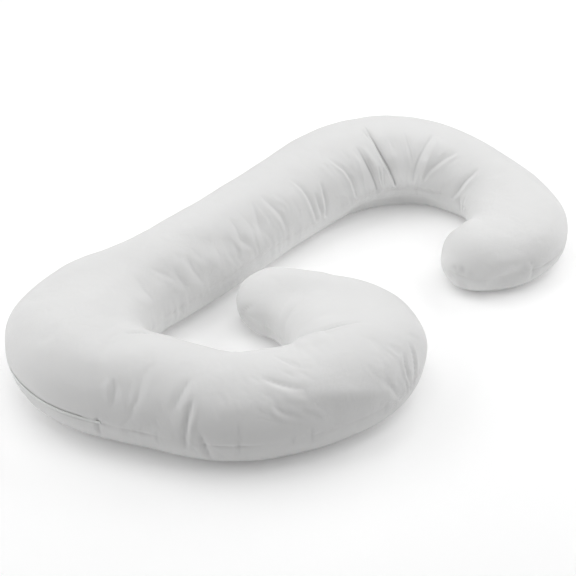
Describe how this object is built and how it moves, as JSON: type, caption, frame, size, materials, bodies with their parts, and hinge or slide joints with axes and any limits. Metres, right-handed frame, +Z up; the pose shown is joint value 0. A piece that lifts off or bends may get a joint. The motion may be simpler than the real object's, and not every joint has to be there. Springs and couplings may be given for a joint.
{
  "type": "pregnancy pillow",
  "caption": "Long C-shaped body pillow with a hook at each end: a stuffed cloth tube sewn round the rim, with a zip in the rim seam.",
  "frame": {"origin": "middle of the box's base, on the surface that the pillow lies on", "axes": "+Z up, +Y along the straight back towards the head hook, both hooks open towards +X"},
  "size_m": [0.8238, 1.401, 0.2054],
  "materials": {
    "cover": "white plain-weave cotton, matt",
    "zip_tape": "woven polyester tape, matt",
    "zip_teeth": "satin"
  },
  "bodies": {
    "root": {"pillow": "cover", "zip_tape": "zip_tape", "zip_coil": "zip_teeth"}
  },
  "joints": []
}
